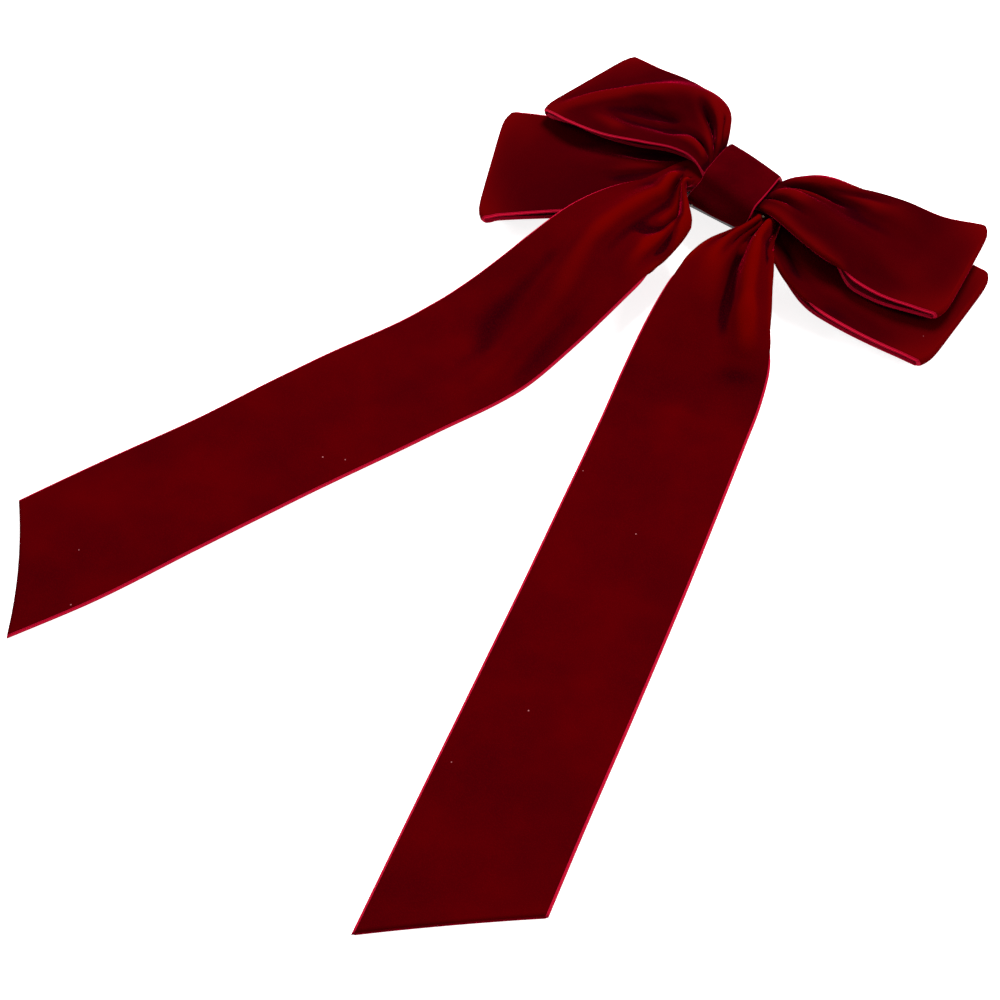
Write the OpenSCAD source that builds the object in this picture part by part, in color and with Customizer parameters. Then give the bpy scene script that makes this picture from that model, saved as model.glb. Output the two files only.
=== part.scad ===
// Velvet hair bow on a French barrette, lying on its back.
//
// +X runs along the barrette, +Y points up the bow and the two tails run towards -Y.
// +Z points out of the front of the bow.  The origin is the middle of the underside of
// the barrette's clasp arm, which is also what the bow rests on.  Millimetres and degrees.

/* [Ribbon] */
// Width of the velvet ribbon of the loops and tails
ribbon_w = 40; // [32:1:48]
// Thickness of one layer of velvet, pile and ground together
ribbon_t = 1.2; // [0.8:0.1:1.6]
// Width of every ribbon where the knot gathers it
waist_w = 12.4; // [10:0.2:15]
// Distance over which a loop fans out from the waist to its full width
loop_fan = 50; // [35:1:60]
// Distance over which a tail fans out from the waist to its full width
tail_fan = 60; // [40:1:80]

/* [Upper loops] */
// Reach of each upper loop from the middle of the knot
upper_reach = 67; // [54:1:82]
// Angle of the upper loops above the line of the barrette
upper_tilt = 12; // [0:1:20]
// Height of the outer folds of the upper loops
upper_end_z = 10; // [9:0.5:16]
// How far the upper loops arch up between knot and fold
upper_arch = 3.2; // [2:0.1:6]
// Extra thickness in the middle of an upper loop, where it is puffed out
upper_puff = 3; // [0:0.5:6]

/* [Lower loops] */
// Reach of each lower loop from the middle of the knot
lower_reach = 74; // [60:1:88]
// Angle of the lower right loop above the line of the barrette
lower_right_tilt = 3; // [-30:1:12]
// Angle of the lower left loop above the line of the barrette
lower_left_tilt = -24; // [-32:1:12]
// Height of the outer folds of the lower loops
lower_end_z = 5; // [3:0.5:7]
// How far the lower loops arch up between knot and fold
lower_arch = 1.5; // [1:0.1:2.5]
// Extra thickness in the middle of a lower loop
lower_puff = 1.2; // [0:0.1:2]

/* [Tails] */
// Length of the left tail from the middle of the knot to the middle of its cut end
left_tail_len = 234; // [150:1:300]
// Length of the right tail, measured the same way
right_tail_len = 249; // [150:1:300]
// Angle of the left tail away from -Y
left_splay = 18.8; // [10:0.1:26]
// Angle of the right tail away from -Y
right_splay = 17.3; // [10:0.1:26]
// Slant of the cut at the end of the left tail
left_cut = 30; // [0:1:45]
// Slant of the cut at the end of the right tail
right_cut = 25; // [0:1:45]
// Distance from the knot to the bend line at which a tail can be lifted
bend_dist = 20; // [19:0.5:24]
// Distance from the knot at which the left tail has passed the loop under it
left_hold = 36; // [30:1:50]
// Distance from the knot at which the right tail starts to come down
right_hold = 24; // [20:1:50]
// Distance over which a tail comes down to the surface
tail_fall = 58; // [50:1:90]

/* [Knot] */
// Width of the knot band
knot_w = 20; // [16:0.5:25]
// Thickness of the gathering thread
thread_t = 0.5; // [0.3:0.05:0.6]
// Turns of gathering thread
thread_turns = 4; // [2:1:6]
// Thickness of the glue bed
glue_t = 0.5; // [0.3:0.1:1]
// Number of stitches that close the band at the back
band_stitch_count = 5; // [3:1:7]

/* [Barrette] */
// Length of the base plate
clip_len = 76; // [60:1:92]
// Height of the underside of the base plate above the rest face, at the middle
clip_h = 9.5; // [8.5:0.1:12]
// Rise of the curved base plate from its ends to its middle
plate_rise = 3.6; // [2:0.1:4.2]
// Width of the base plate
plate_w = 9.5; // [8.6:0.1:11]
// Thickness of the base plate
plate_t = 0.8; // [0.6:0.1:1.2]
// Radius of the sewing holes
sew_r = 0.9; // [0.5:0.1:1.2]
// Width of the clasp arm
arm_w = 6; // [5:0.1:7]
// Thickness of the clasp arm
arm_t = 0.9; // [0.6:0.1:1.2]
// Radius of the hinge pin
pin_r = 0.7; // [0.5:0.05:0.9]
// Width of the tension spring
spring_w = 4.2; // [3:0.1:5]
// Thickness of the tension spring
spring_t = 0.4; // [0.3:0.05:0.5]
// Rise of the bowed tension spring
spring_rise = 1.6; // [1:0.1:2]

/* [Catch] */
// Length of the window in the clasp arm
window_len = 3; // [2.5:0.1:3.6]
// Width of the window in the clasp arm
window_w = 4; // [3.6:0.1:4.6]
// Thickness of a catch leg
leg_t = 0.7; // [0.5:0.05:0.8]
// Height of the finger tabs of the catch
tab_h = 3.6; // [3:0.1:4]
// Radius of the catch rivet
rivet_r = 0.8; // [0.6:0.1:1]

/* [Fits] */
// Radial clearance of a hinge that turns
running_gap = 0.06; // [0.03:0.01:0.1]
// Clearance between metal pieces that are fastened together
snug_gap = 0.02; // [0.01:0.01:0.04]
// Clearance between moving metal pieces that pass each other
side_gap = 0.2; // [0.15:0.05:0.3]
// Gap between pressed layers of fabric, thread and glue
soft_gap = 0.2; // [0.1:0.05:0.25]
// Gap between a lifted tail and the gather it bends from
bend_gap = 0.4; // [0.3:0.1:0.8]

/* [Hidden] */
$fn = 48;
velvet = "#7a0612";
knot_velvet = "#5c040e";
steel = "#8f9196";
thread_red = "#4d030b";
glue_clear = "#d9cfae";
fine = 720; // segments of the long shallow curves of plate and spring
eps = 0.01;

// Base plate: an arc over the full length of the barrette.
half_len = clip_len / 2;
function arc_r(half, rise) = (half * half + rise * rise) / (2 * rise);
plate_r = arc_r(half_len, plate_rise);
function plate_under(x) = clip_h - plate_r + sqrt(plate_r * plate_r - x * x);
plate_top = clip_h + plate_t;

// Hinge end of the barrette.
ear_t = 0.8;
ear_r = 2;
ear_inset = 2;
hinge_x = ear_inset - half_len;
barrel_r = pin_r + running_gap + 0.8;
pin_z = arm_t + barrel_r - 0.05;
barrel_len = plate_w - 2 * ear_t - 2 * side_gap;
pin_head_r = pin_r + 0.5;
pin_head_t = 0.4;

// Catch end of the barrette.
pad_z = 1.5; // underside of the raised pad at the arm's free end
pad_len = 4.8;
pad_w = 7.4;
pad_x = half_len - 0.6 - pad_len;
window_x = pad_x + pad_len / 2;
leg_z = pad_z + arm_t + 0.3;
leg_top = plate_under(half_len) - 0.45;
leg_y = 1.25; // middle of each leg's thickness, from the barrette's middle line
knuckle_r = leg_t;
knuckle_x = half_len - 12;
block_len = 4.4;
block_x = knuckle_x - 2.2;
block_w = 2 * (leg_y + knuckle_r + running_gap + 0.8);
block_floor = 0.5;
flange_t = 0.7;
flange_lead = 3.8; // flange ahead of the block, where the rivet goes
rivet_x = block_x - flange_lead / 2;
rivet_head_r = 1.4;
rivet_head_t = 0.5;
prong_len = window_len - 0.8;
prong_out = window_w / 2 - 0.15;
tab_y = 3.5;
tab_x = half_len + 2.2;

// Tension spring, held down on the arm by a bridge near each end.
spring_z = arm_t + 0.05;
spring_end = block_x - 1.5;
spring_start = hinge_x + 8.5;
spring_half = (spring_end - spring_start) / 2;
spring_mid = (spring_end + spring_start) / 2;
spring_r = arc_r(spring_half, spring_rise);
bridge_len = 1.5;
bridge_t = 0.6;
bridge_inset = 1.2;
bridge_room = spring_t + 0.35;

// Sewing holes, between the ears and the plate's middle and just short of the catch.
sew_x = half_len - 6.5;

// Layers at the waist, from the base plate up.
pressed = 0.8; // share of its thickness that velvet keeps when it is pressed
loop_waist_t = 2 * ribbon_t * pressed;
tail_waist_t = 1.4 * ribbon_t;
glue_z = plate_top + 0.05;
thread_z = glue_z + glue_t + soft_gap;
lower_waist_z = thread_z + thread_t + soft_gap + loop_waist_t / 2;
tail_waist_z = lower_waist_z + (loop_waist_t + tail_waist_t) / 2 + soft_gap;
upper_waist_z = tail_waist_z + (loop_waist_t + tail_waist_t) / 2 + soft_gap;
thread_top = upper_waist_z + loop_waist_t / 2 + soft_gap + thread_t;
stack_half = waist_w / 2 + soft_gap + thread_t;

// Knot band, a closed ring round the waist and the plate.
band_bottom = plate_under(knot_w / 2) - soft_gap;
band_top = thread_top + soft_gap;
band_foot = plate_w / 2 + 0.35;
band_side = stack_half + 0.7;
band_front = band_side + ribbon_t;
waist_end = knot_w / 2 + 0.6;

// Loops: thickness at the edges and rounding of the folds.
loop_edge_t = 2.6;
fold_round = 2;
loop_steps = 12;

// Tails: height of the bend line and shift of each tail to the outer side.
bend_z = tail_waist_z - 0.9;
left_shift = [8.5, -1.8];
right_shift = [6.8, 6.8];
shift_start = 35;
shift_len = 55;
tail_steps = 24;

function clamp01(t) = min(1, max(0, t));
function ease(t) = let (c = clamp01(t)) c * c * (3 - 2 * c);
function mix(a, b, t) = a + (b - a) * t;
function fan_out(r, start, length) =
    mix(waist_w, ribbon_w, sin(90 * clamp01((r - start) / length)));
// The point that lies along and across a line which leaves the origin at an angle to +X.
function turned(angle, along, across) =
    [along * cos(angle) - across * sin(angle), along * sin(angle) + across * cos(angle)];

// Closed solid between a top and a bottom grid of points with the same rows and columns.
module between(top, bottom) {
    rows = len(top);
    cols = len(top[0]);
    under = rows * cols;
    points = [for (row = top) each row, for (row = bottom) each row];
    faces = [
        for (i = [0:rows - 2]) for (j = [0:cols - 2])
            let (a = i * cols + j, b = a + 1, d = a + cols, c = d + 1)
            each [[a, b, c], [a, c, d], [a + under, c + under, b + under],
                  [a + under, d + under, c + under]],
        for (j = [0:cols - 2])
            let (a = j, b = j + 1, d = (rows - 1) * cols + j, c = d + 1)
            each [[b, a, a + under], [b, a + under, b + under],
                  [d, c, c + under], [d, c + under, d + under]],
        for (i = [0:rows - 2])
            let (a = i * cols, d = a + cols, b = a + cols - 1, c = d + cols - 1)
            each [[a, d, d + under], [a, d + under, a + under],
                  [c, b, b + under], [c, b + under, c + under]]
    ];
    polyhedron(points, faces, convexity = 6);
}

// ---- Loops ----------------------------------------------------------------------------
// shape = [reach, waist z, end z, arch, puff]; a loop is the closed pillow between the
// outer faces of its two layers.

function loop_u(r, shape) = clamp01((r - waist_end) / (shape[0] - waist_end));
function loop_mid(r, shape) =
    let (u = loop_u(r, shape))
    mix(shape[1], shape[2], u) + shape[3] * pow(sin(180 * u), 2);
function fold_nose(r, shape) =
    let (d = clamp01((r - shape[0] + fold_round) / fold_round)) sqrt(1 - 0.9 * d * d);
function loop_half_t(r, v, shape) =
    let (u = loop_u(r, shape))
    fold_nose(r, shape) / 2 * (mix(loop_waist_t, loop_edge_t, ease(2.5 * u))
        + shape[4] * pow(sin(180 * u), 2) * (1 - v * v));
function loop_point(side, tilt, r, v, shape, face) =
    let (p = turned(tilt * ease((r - waist_end) / 20), r,
                    v / 2 * fan_out(r, waist_end, loop_fan)))
    [side * p[0], p[1], loop_mid(r, shape) + face * loop_half_t(r, v, shape)];
function loop_stations(shape) = [
    for (k = [0:loop_steps]) mix(waist_end, shape[0] - fold_round, k / loop_steps),
    shape[0] - 0.3 * fold_round, shape[0]
];
function loop_row(side, tilt, r, shape, face) =
    [for (v = [-1:0.25:1]) loop_point(side, tilt, r, v, shape, face)];

module loop_pair(left_tilt, right_tilt, shape) {
    stations = loop_stations(shape);
    last = len(stations) - 1;
    grids = [for (face = [1, -1]) [
        for (k = [last:-1:0]) loop_row(-1, left_tilt, stations[k], shape, face),
        for (r = stations) loop_row(1, right_tilt, r, shape, face)
    ]];
    between(grids[0], grids[1]);
}

module upper_loops() {
    color(velvet)
        loop_pair(upper_tilt, upper_tilt,
                  [upper_reach, upper_waist_z, upper_end_z, upper_arch, upper_puff]);
}

module lower_loops() {
    color(velvet)
        loop_pair(lower_left_tilt, lower_right_tilt,
                  [lower_reach, lower_waist_z, lower_end_z, lower_arch, lower_puff]);
}

// ---- Tails ----------------------------------------------------------------------------
// tail = [side, splay, [shift near the knot, shift further out], length, cut, hold];
// distances run down the tail from under the middle of the knot, across counts outwards.

left_tail_shape = [-1, left_splay, left_shift, left_tail_len, left_cut, left_hold];
right_tail_shape = [1, right_splay, right_shift, right_tail_len, right_cut, right_hold];

function tail_point(tail, s, v) =
    let (across = mix(tail[2][0], tail[2][1], ease((s - shift_start) / shift_len))
             + v / 2 * fan_out(s, waist_end, tail_fan),
         p = turned(tail[1] - 90, s, across))
    [tail[0] * p[0], p[1]];
function tail_z(tail, s) =
    mix(bend_z, ribbon_t / 2, ease((s - tail[5]) / tail_fall));
// The inner edge of a cut end is longer than its outer edge.
function tail_s(tail, k, v) =
    mix(bend_dist + bend_gap, tail[3] - v / 2 * ribbon_w * tan(tail[4]), k / tail_steps);
function outward(tail) = tail[0] > 0 ? [-1:0.5:1] : [1:-0.5:-1];
function tail_row(tail, k, face) = [
    for (v = outward(tail))
        let (s = tail_s(tail, k, v))
        concat(tail_point(tail, s, v), tail_z(tail, s) + face * ribbon_t / 2)
];

module tail(shape) {
    grids = [for (face = [1, -1]) [for (k = [0:tail_steps]) tail_row(shape, k, face)]];
    between(grids[0], grids[1]);
}

module left_tail() { color(velvet) tail(left_tail_shape); }
module right_tail() { color(velvet) tail(right_tail_shape); }

// The gathered stretch of a tail: out of the knot's open side, round its lower corner and
// down to the bend line.  A row is [inner corner, outer corner, z, thickness].
function gather_rows(tail) =
    let (side = tail[0],
         mouth = waist_end,
         inner = tail_point(tail, bend_dist, -1),
         outer = tail_point(tail, bend_dist, 1),
         turn_out = [side * (mouth + outer[0] * side) / 2 + side * 2,
                     (waist_w / 2 + outer[1]) / 2])
    [
        [[side * soft_gap, -waist_w / 2], [side * soft_gap, waist_w / 2],
         tail_waist_z, tail_waist_t],
        [[side * mouth, -waist_w / 2], [side * mouth, waist_w / 2],
         tail_waist_z, tail_waist_t],
        [[side * (mouth + 0.3), -band_front - 1.4], turn_out,
         mix(tail_waist_z, bend_z, 0.8), mix(tail_waist_t, ribbon_t, 0.8)],
        [inner, outer, bend_z, ribbon_t]
    ];

module gather(shape) {
    rows = gather_rows(shape);
    shares = shape[0] > 0 ? [0:0.25:1] : [1:-0.25:0];
    grids = [for (face = [1, -1]) [for (row = rows) [
        for (v = shares) concat(mix(row[0], row[1], v), row[2] + face * row[3] / 2)
    ]]];
    between(grids[0], grids[1]);
}

module left_tail_gather() { color(velvet) gather(left_tail_shape); }
module right_tail_gather() { color(velvet) gather(right_tail_shape); }

// ---- Knot -----------------------------------------------------------------------------

// Points of a closed outline whose corners are rounded, each over its own distance.
function rounded(corners, reach, steps = 6) = [
    for (i = [0:len(corners) - 1])
        let (n = len(corners), p = corners[i],
             a = corners[(i + n - 1) % n] - p, b = corners[(i + 1) % n] - p,
             from = p + a / norm(a) * reach[i], to = p + b / norm(b) * reach[i])
        for (k = [0:steps])
            let (t = k / steps) mix(mix(from, p, t), mix(p, to, t), t)
];

// Outline of the band in Y and Z, grown outwards from the space inside it.
function band_outline(grow) = rounded(
    [[-band_foot - grow, band_bottom - grow], [band_foot + grow, band_bottom - grow],
     [band_side + grow, thread_z - grow / 3], [band_side - 0.2 + grow, band_top + grow],
     [0.2 - band_side - grow, band_top + grow], [-band_side - grow, thread_z - grow / 3]],
    [0.6, 0.6, 1, 1.6, 1.6, 1] * (1 + grow / 2));

module knot_band() {
    color(knot_velvet)
        rotate([90, 0, 90]) linear_extrude(knot_w, center = true)
            difference() {
                polygon(band_outline(ribbon_t));
                polygon(band_outline(0));
            }
}

// Short slanted stitches that close the band against the hair side of the plate.
module band_stitches() {
    stitch_r = 0.14;
    stitch_len = 2.6;
    pitch = knot_w / (band_stitch_count + 1);
    color(thread_red)
        for (i = [1:band_stitch_count])
            translate([i * pitch - knot_w / 2, 0, band_bottom - ribbon_t - stitch_r - 0.02])
                rotate([90, 0, 25])
                    cylinder(r = stitch_r, h = stitch_len, center = true, $fn = 16);
}

module ring_outline(half_w, low, high, round_r) {
    translate([0, (low + high) / 2]) {
        square([2 * half_w - 2 * round_r, high - low], center = true);
        square([2 * half_w, high - low - 2 * round_r], center = true);
        for (sy = [-1, 1]) for (sz = [-1, 1])
            translate([sy * (half_w - round_r), sz * ((high - low) / 2 - round_r)])
                circle(r = round_r);
    }
}

module waist_thread() {
    pitch = thread_t + 0.3;
    color(thread_red)
        for (i = [0:thread_turns - 1])
            translate([(i - (thread_turns - 1) / 2) * pitch, 0, 0])
                rotate([90, 0, 90]) linear_extrude(thread_t, center = true)
                    difference() {
                        ring_outline(stack_half, thread_z, thread_top, 0.9);
                        ring_outline(stack_half - thread_t, thread_z + thread_t,
                                     thread_top - thread_t, 0.4);
                    }
}

module glue_bed() {
    bed_len = knot_w - 6;
    bed_w = plate_w - 2;
    color(glue_clear)
        translate([0, 0, glue_z]) {
            translate([-bed_len / 2 + bed_w / 2, -bed_w / 2, 0])
                cube([bed_len - bed_w, bed_w, glue_t]);
            for (side = [-1, 1])
                translate([side * (bed_len - bed_w) / 2, 0, 0])
                    cylinder(d = bed_w, h = glue_t);
        }
}

// ---- Barrette -------------------------------------------------------------------------

// Everything within a given radius of the plate's centre of curvature.
module plate_cylinder(r) {
    translate([0, 0, clip_h - plate_r]) rotate([90, 0, 0])
        cylinder(r = r, h = 2 * plate_w, center = true, $fn = fine);
}

// A cylinder across the barrette, centred on its middle line.
module cross_cylinder(x, z, r, length) {
    translate([x, 0, z]) rotate([90, 0, 0]) cylinder(r = r, h = length, center = true);
}

module hinge_ear(side) {
    y = side * (plate_w - ear_t) / 2;
    translate([0, y, 0]) {
        cross_cylinder(hinge_x, pin_z, ear_r, ear_t);
        intersection() {
            translate([hinge_x - ear_r, -ear_t / 2, pin_z])
                cube([2 * ear_r, ear_t, clip_h]);
            plate_cylinder(plate_r + plate_t / 2);
        }
    }
}

module base_plate() {
    color(steel)
        difference() {
            union() {
                intersection() {
                    difference() {
                        plate_cylinder(plate_r + plate_t);
                        plate_cylinder(plate_r);
                    }
                    union() {
                        translate([-half_len, -plate_w / 2, 0])
                            cube([clip_len - plate_w / 2, plate_w, plate_top + 1]);
                        translate([half_len - plate_w / 2, 0, 0])
                            cylinder(d = plate_w, h = plate_top + 1);
                    }
                }
                for (side = [-1, 1]) hinge_ear(side);
            }
            for (side = [-1, 1])
                translate([side * sew_x, 0, 0]) cylinder(r = sew_r, h = plate_top + 1);
            at_rivet() cylinder(r = rivet_r + snug_gap, h = 4 * plate_t, center = true);
            cross_cylinder(hinge_x, pin_z, pin_r + snug_gap, 2 * plate_w);
        }
}

module hinge_pin() {
    color("gainsboro") {
        cross_cylinder(hinge_x, pin_z, pin_r, plate_w + 2 * pin_head_t);
        for (side = [-1, 1])
            translate([0, side * (plate_w / 2 + snug_gap + pin_head_t / 2), 0])
                cross_cylinder(hinge_x, pin_z, pin_head_r, pin_head_t);
    }
}

// The spring's bridge on the arm: an arch that its end slides under.
module spring_bridge(x) {
    room = bridge_room;
    inner_w = spring_w + 0.3;
    translate([x, 0, arm_t])
        difference() {
            translate([-bridge_len / 2, -inner_w / 2 - bridge_t, -eps])
                cube([bridge_len, inner_w + 2 * bridge_t, room + bridge_t + eps]);
            translate([-bridge_len, -inner_w / 2, 0])
                cube([2 * bridge_len, inner_w, room]);
        }
}

module clasp_arm() {
    heel = 0.9; // how far the arm reaches behind the pin
    riser_x = pad_x - 0.6;
    color(steel)
        difference() {
            union() {
                translate([hinge_x - heel, -arm_w / 2, 0])
                    cube([riser_x + arm_t - hinge_x + heel, arm_w, arm_t]);
                translate([hinge_x - heel, -arm_w / 2, 0]) cube([2 * heel, arm_w, pin_z]);
                cross_cylinder(hinge_x, pin_z, barrel_r, barrel_len);
                translate([riser_x, -arm_w / 2, 0]) cube([arm_t, arm_w, pad_z + arm_t]);
                translate([riser_x, -pad_w / 2, pad_z])
                    cube([pad_len + 0.6 - 1, pad_w, arm_t]);
                translate([riser_x, 1 - pad_w / 2, pad_z])
                    cube([pad_len + 0.6, pad_w - 2, arm_t]);
                for (side = [-1, 1])
                    translate([pad_x + pad_len - 1, side * (pad_w / 2 - 1), pad_z])
                        cylinder(r = 1, h = arm_t);
                spring_bridge(spring_start + bridge_inset);
                spring_bridge(spring_end - bridge_inset);
            }
            cross_cylinder(hinge_x, pin_z, pin_r + running_gap, plate_w);
            translate([window_x - window_len / 2, -window_w / 2, pad_z - 1])
                cube([window_len, window_w, arm_t + 2]);
        }
}

module tension_spring() {
    centre_z = spring_z + spring_rise - spring_r;
    color("lightsteelblue")
        intersection() {
            translate([spring_mid, 0, centre_z]) rotate([90, 0, 0])
                difference() {
                    cylinder(r = spring_r + spring_t, h = spring_w, center = true, $fn = fine);
                    cylinder(r = spring_r, h = spring_w + 2, center = true, $fn = fine);
                }
            translate([spring_start, -spring_w / 2, 0])
                cube([2 * spring_half, spring_w, clip_h]);
        }
}

// ---- Catch ----------------------------------------------------------------------------

// Puts its children on the plate's underside where the rivet goes, square to the plate.
module at_rivet() {
    translate([0, 0, clip_h - plate_r]) rotate([0, asin(rivet_x / plate_r), 0])
        translate([0, 0, plate_r]) children();
}

module catch_block() {
    socket_r = knuckle_r + running_gap;
    flange_end = block_x + block_len;
    color("gray")
        difference() {
            intersection() {
                union() {
                    difference() {
                        translate([block_x - flange_lead, -block_w / 2, 0])
                            cube([flange_end - block_x + flange_lead, block_w, clip_h]);
                        plate_cylinder(plate_r - snug_gap - flange_t);
                    }
                    translate([block_x, -block_w / 2, leg_z - side_gap - block_floor])
                        cube([block_len, block_w, clip_h]);
                }
                plate_cylinder(plate_r - snug_gap);
            }
            for (side = [-1, 1])
                translate([knuckle_x, side * leg_y, leg_z - side_gap]) {
                    cylinder(r = socket_r, h = leg_top - leg_z + 2 * side_gap);
                    translate([0, -leg_t / 2 - side_gap, 0])
                        cube([block_len, leg_t + 2 * side_gap,
                              leg_top - leg_z + 2 * side_gap]);
                }
            at_rivet() cylinder(r = rivet_r + snug_gap, h = 4 * flange_t, center = true);
        }
}

module catch_rivet() {
    head_gap = snug_gap / 2;
    low = -flange_t - snug_gap - head_gap;
    color("gainsboro")
        at_rivet() {
            translate([0, 0, low - rivet_head_t])
                cylinder(r = rivet_r, h = plate_t + head_gap - low + 2 * rivet_head_t);
            translate([0, 0, low - rivet_head_t]) cylinder(r = rivet_head_r, h = rivet_head_t);
            translate([0, 0, plate_t + head_gap]) cylinder(r = rivet_head_r, h = rivet_head_t);
        }
}

// One leg of the catch: a knuckle in the block, a beam, a prong through the arm's window
// and a finger tab beyond the end of the plate.  side is +1 for the leg nearer +Y.
module catch_leg(side) {
    leg_h = leg_top - leg_z;
    inner = leg_y - leg_t / 2;
    outer = leg_y + leg_t / 2;
    bend_x = half_len - 0.4;
    mirror([0, side > 0 ? 0 : 1, 0]) {
        translate([knuckle_x, leg_y, leg_z]) cylinder(r = knuckle_r, h = leg_h);
        translate([0, 0, leg_z]) linear_extrude(leg_h)
            polygon([[knuckle_x, inner], [bend_x, inner], [tab_x + 0.4, tab_y],
                     [tab_x + 0.4, tab_y + leg_t], [tab_x - 0.5, tab_y + leg_t],
                     [bend_x - 0.5, outer], [knuckle_x, outer]]);
        translate([window_x - prong_len / 2, 0, 0])
            rotate([90, 0, 90]) linear_extrude(prong_len)
                polygon([[inner, leg_z + 0.2], [inner, 0.4], [outer - 0.2, 0.4],
                         [prong_out, 0.9], [prong_out, 1.3], [outer, 1.5],
                         [outer, leg_z + 0.2]]);
        translate([tab_x + tab_h / 2, tab_y + leg_t / 2, (leg_z + leg_top) / 2])
            rotate([90, 0, 0]) {
                cylinder(d = tab_h, h = leg_t, center = true);
                translate([-tab_h / 4, 0, 0])
                    cube([tab_h / 2, tab_h, leg_t], center = true);
            }
    }
}

module upper_catch_leg() { color("lightslategray") catch_leg(1); }
module lower_catch_leg() { color("lightslategray") catch_leg(-1); }

upper_loops();
lower_loops();
left_tail();
right_tail();
left_tail_gather();
right_tail_gather();
knot_band();
band_stitches();
waist_thread();
glue_bed();
base_plate();
hinge_pin();
clasp_arm();
tension_spring();
catch_block();
catch_rivet();
upper_catch_leg();
lower_catch_leg();
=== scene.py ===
"""Velvet hair bow on a French barrette: the looks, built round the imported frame.

Lengths inside the shape functions are millimetres in the frame of the part: +X along the
barrette, +Y up the bow, tails towards -Y, +Z out of the bow's front, and the surface that
the bow lies on at z = 0.  Meshes are written in metres.
"""
import math

import bpy
import numpy as np
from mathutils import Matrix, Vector


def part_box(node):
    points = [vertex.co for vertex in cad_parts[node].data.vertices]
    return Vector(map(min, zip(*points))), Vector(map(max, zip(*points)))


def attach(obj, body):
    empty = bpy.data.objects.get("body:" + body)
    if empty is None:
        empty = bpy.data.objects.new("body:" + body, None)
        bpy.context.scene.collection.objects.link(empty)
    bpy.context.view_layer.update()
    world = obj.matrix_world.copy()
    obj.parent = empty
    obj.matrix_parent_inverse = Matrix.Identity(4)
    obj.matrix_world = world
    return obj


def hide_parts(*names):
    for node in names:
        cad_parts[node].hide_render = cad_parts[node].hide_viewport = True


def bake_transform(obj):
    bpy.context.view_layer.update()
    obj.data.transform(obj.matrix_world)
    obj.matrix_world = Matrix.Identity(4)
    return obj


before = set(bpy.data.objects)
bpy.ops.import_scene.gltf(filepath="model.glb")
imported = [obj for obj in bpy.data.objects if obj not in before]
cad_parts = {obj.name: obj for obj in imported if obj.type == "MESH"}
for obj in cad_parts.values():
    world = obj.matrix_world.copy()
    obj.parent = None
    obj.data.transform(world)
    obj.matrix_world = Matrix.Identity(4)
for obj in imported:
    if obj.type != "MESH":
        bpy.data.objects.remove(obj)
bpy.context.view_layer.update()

scene = bpy.context.scene
MM = 0.001

# ---- Sizes repeated from the part ------------------------------------------------------
RIBBON_W = 40.0
VELVET_T = 1.15      # one layer of velvet, pile and ground together
KNOT_W = 20.0
MOUTH = KNOT_W / 2   # where the ribbons leave the knot, on either side
TAIL_Z = 14.71       # middle of the tails' layer at the waist
SPLAY = 18.8         # angle of each tail away from the bow's middle line, in degrees


def linked(name, data):
    """A new object of the scene that holds this data."""
    ob = bpy.data.objects.new(name, data)
    scene.collection.objects.link(ob)
    return ob


# ---- Camera ----------------------------------------------------------------------------
CAMERA_AIM = (10.77, -126.82, 0.0)
CAMERA_AWAY = (0.3937, -0.5076, 0.7664)    # direction from the aim to the camera
CAMERA_REACH = 637.9
CAMERA_LENS = 86.51
CAMERA_SENSOR = 36.0


def make_camera():
    away = Vector(CAMERA_AWAY)
    data = bpy.data.cameras.new("Camera")
    data.lens = CAMERA_LENS
    data.sensor_width = CAMERA_SENSOR
    data.clip_start = 0.01
    data.clip_end = 20.0
    cam = linked("Camera", data)
    cam.location = Vector(CAMERA_AIM) * MM + away * CAMERA_REACH * MM
    cam.rotation_euler = away.to_track_quat("Z", "Y").to_euler()
    scene.camera = cam


make_camera()


# ---- Small maths -----------------------------------------------------------------------
def mix(a, b, t):
    return a + (b - a) * t


def ease(t):
    t = np.clip(t, 0.0, 1.0)
    return t * t * (3 - 2 * t)


def hermite(a, b, slope_a, slope_b, step, t):
    """Cubic from a to b over a step, with t from 0 to 1 and the slopes at both ends."""
    t2, t3 = t * t, t * t * t
    return ((2 * t3 - 3 * t2 + 1) * a + (t3 - 2 * t2 + t) * step * slope_a
            + (3 * t2 - 2 * t3) * b + (t3 - t2) * step * slope_b)


def curve(stops, x):
    """Smooth curve through (x, y) stops, flat beyond its ends."""
    xs = np.array([s[0] for s in stops], float)
    ys = np.array([s[1] for s in stops], float)
    slope = np.gradient(ys, xs)
    x = np.clip(np.asarray(x, float), xs[0], xs[-1])
    i = np.clip(np.searchsorted(xs, x, side="right") - 1, 0, len(xs) - 2)
    step = xs[i + 1] - xs[i]
    return hermite(ys[i], ys[i + 1], slope[i], slope[i + 1], step, (x - xs[i]) / step)


def rail(points, s):
    """Smooth line in the bow's plane: points are (s, x, y)."""
    return np.stack([curve([(p[0], p[1]) for p in points], s),
                     curve([(p[0], p[2]) for p in points], s)], -1)


def bump(x, centre, width):
    return np.exp(-((x - centre) / width) ** 2)


def pleats(s, v, rows):
    """Height of soft folds.  A fold is (from s, to s, v there, v there, width in v there,
    width in v there, height, length over which it rises, length over which it dies)."""
    z = np.zeros(np.broadcast(s, v).shape)
    for s0, s1, v0, v1, w0, w1, height, rise, die in rows:
        t = np.clip((s - s0) / (s1 - s0), 0, 1)
        env = ease((s - s0) / rise) * ease((s1 - s) / die)
        z = z + height * env * bump(v, mix(v0, v1, t), mix(w0, w1, t))
    return z


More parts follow.
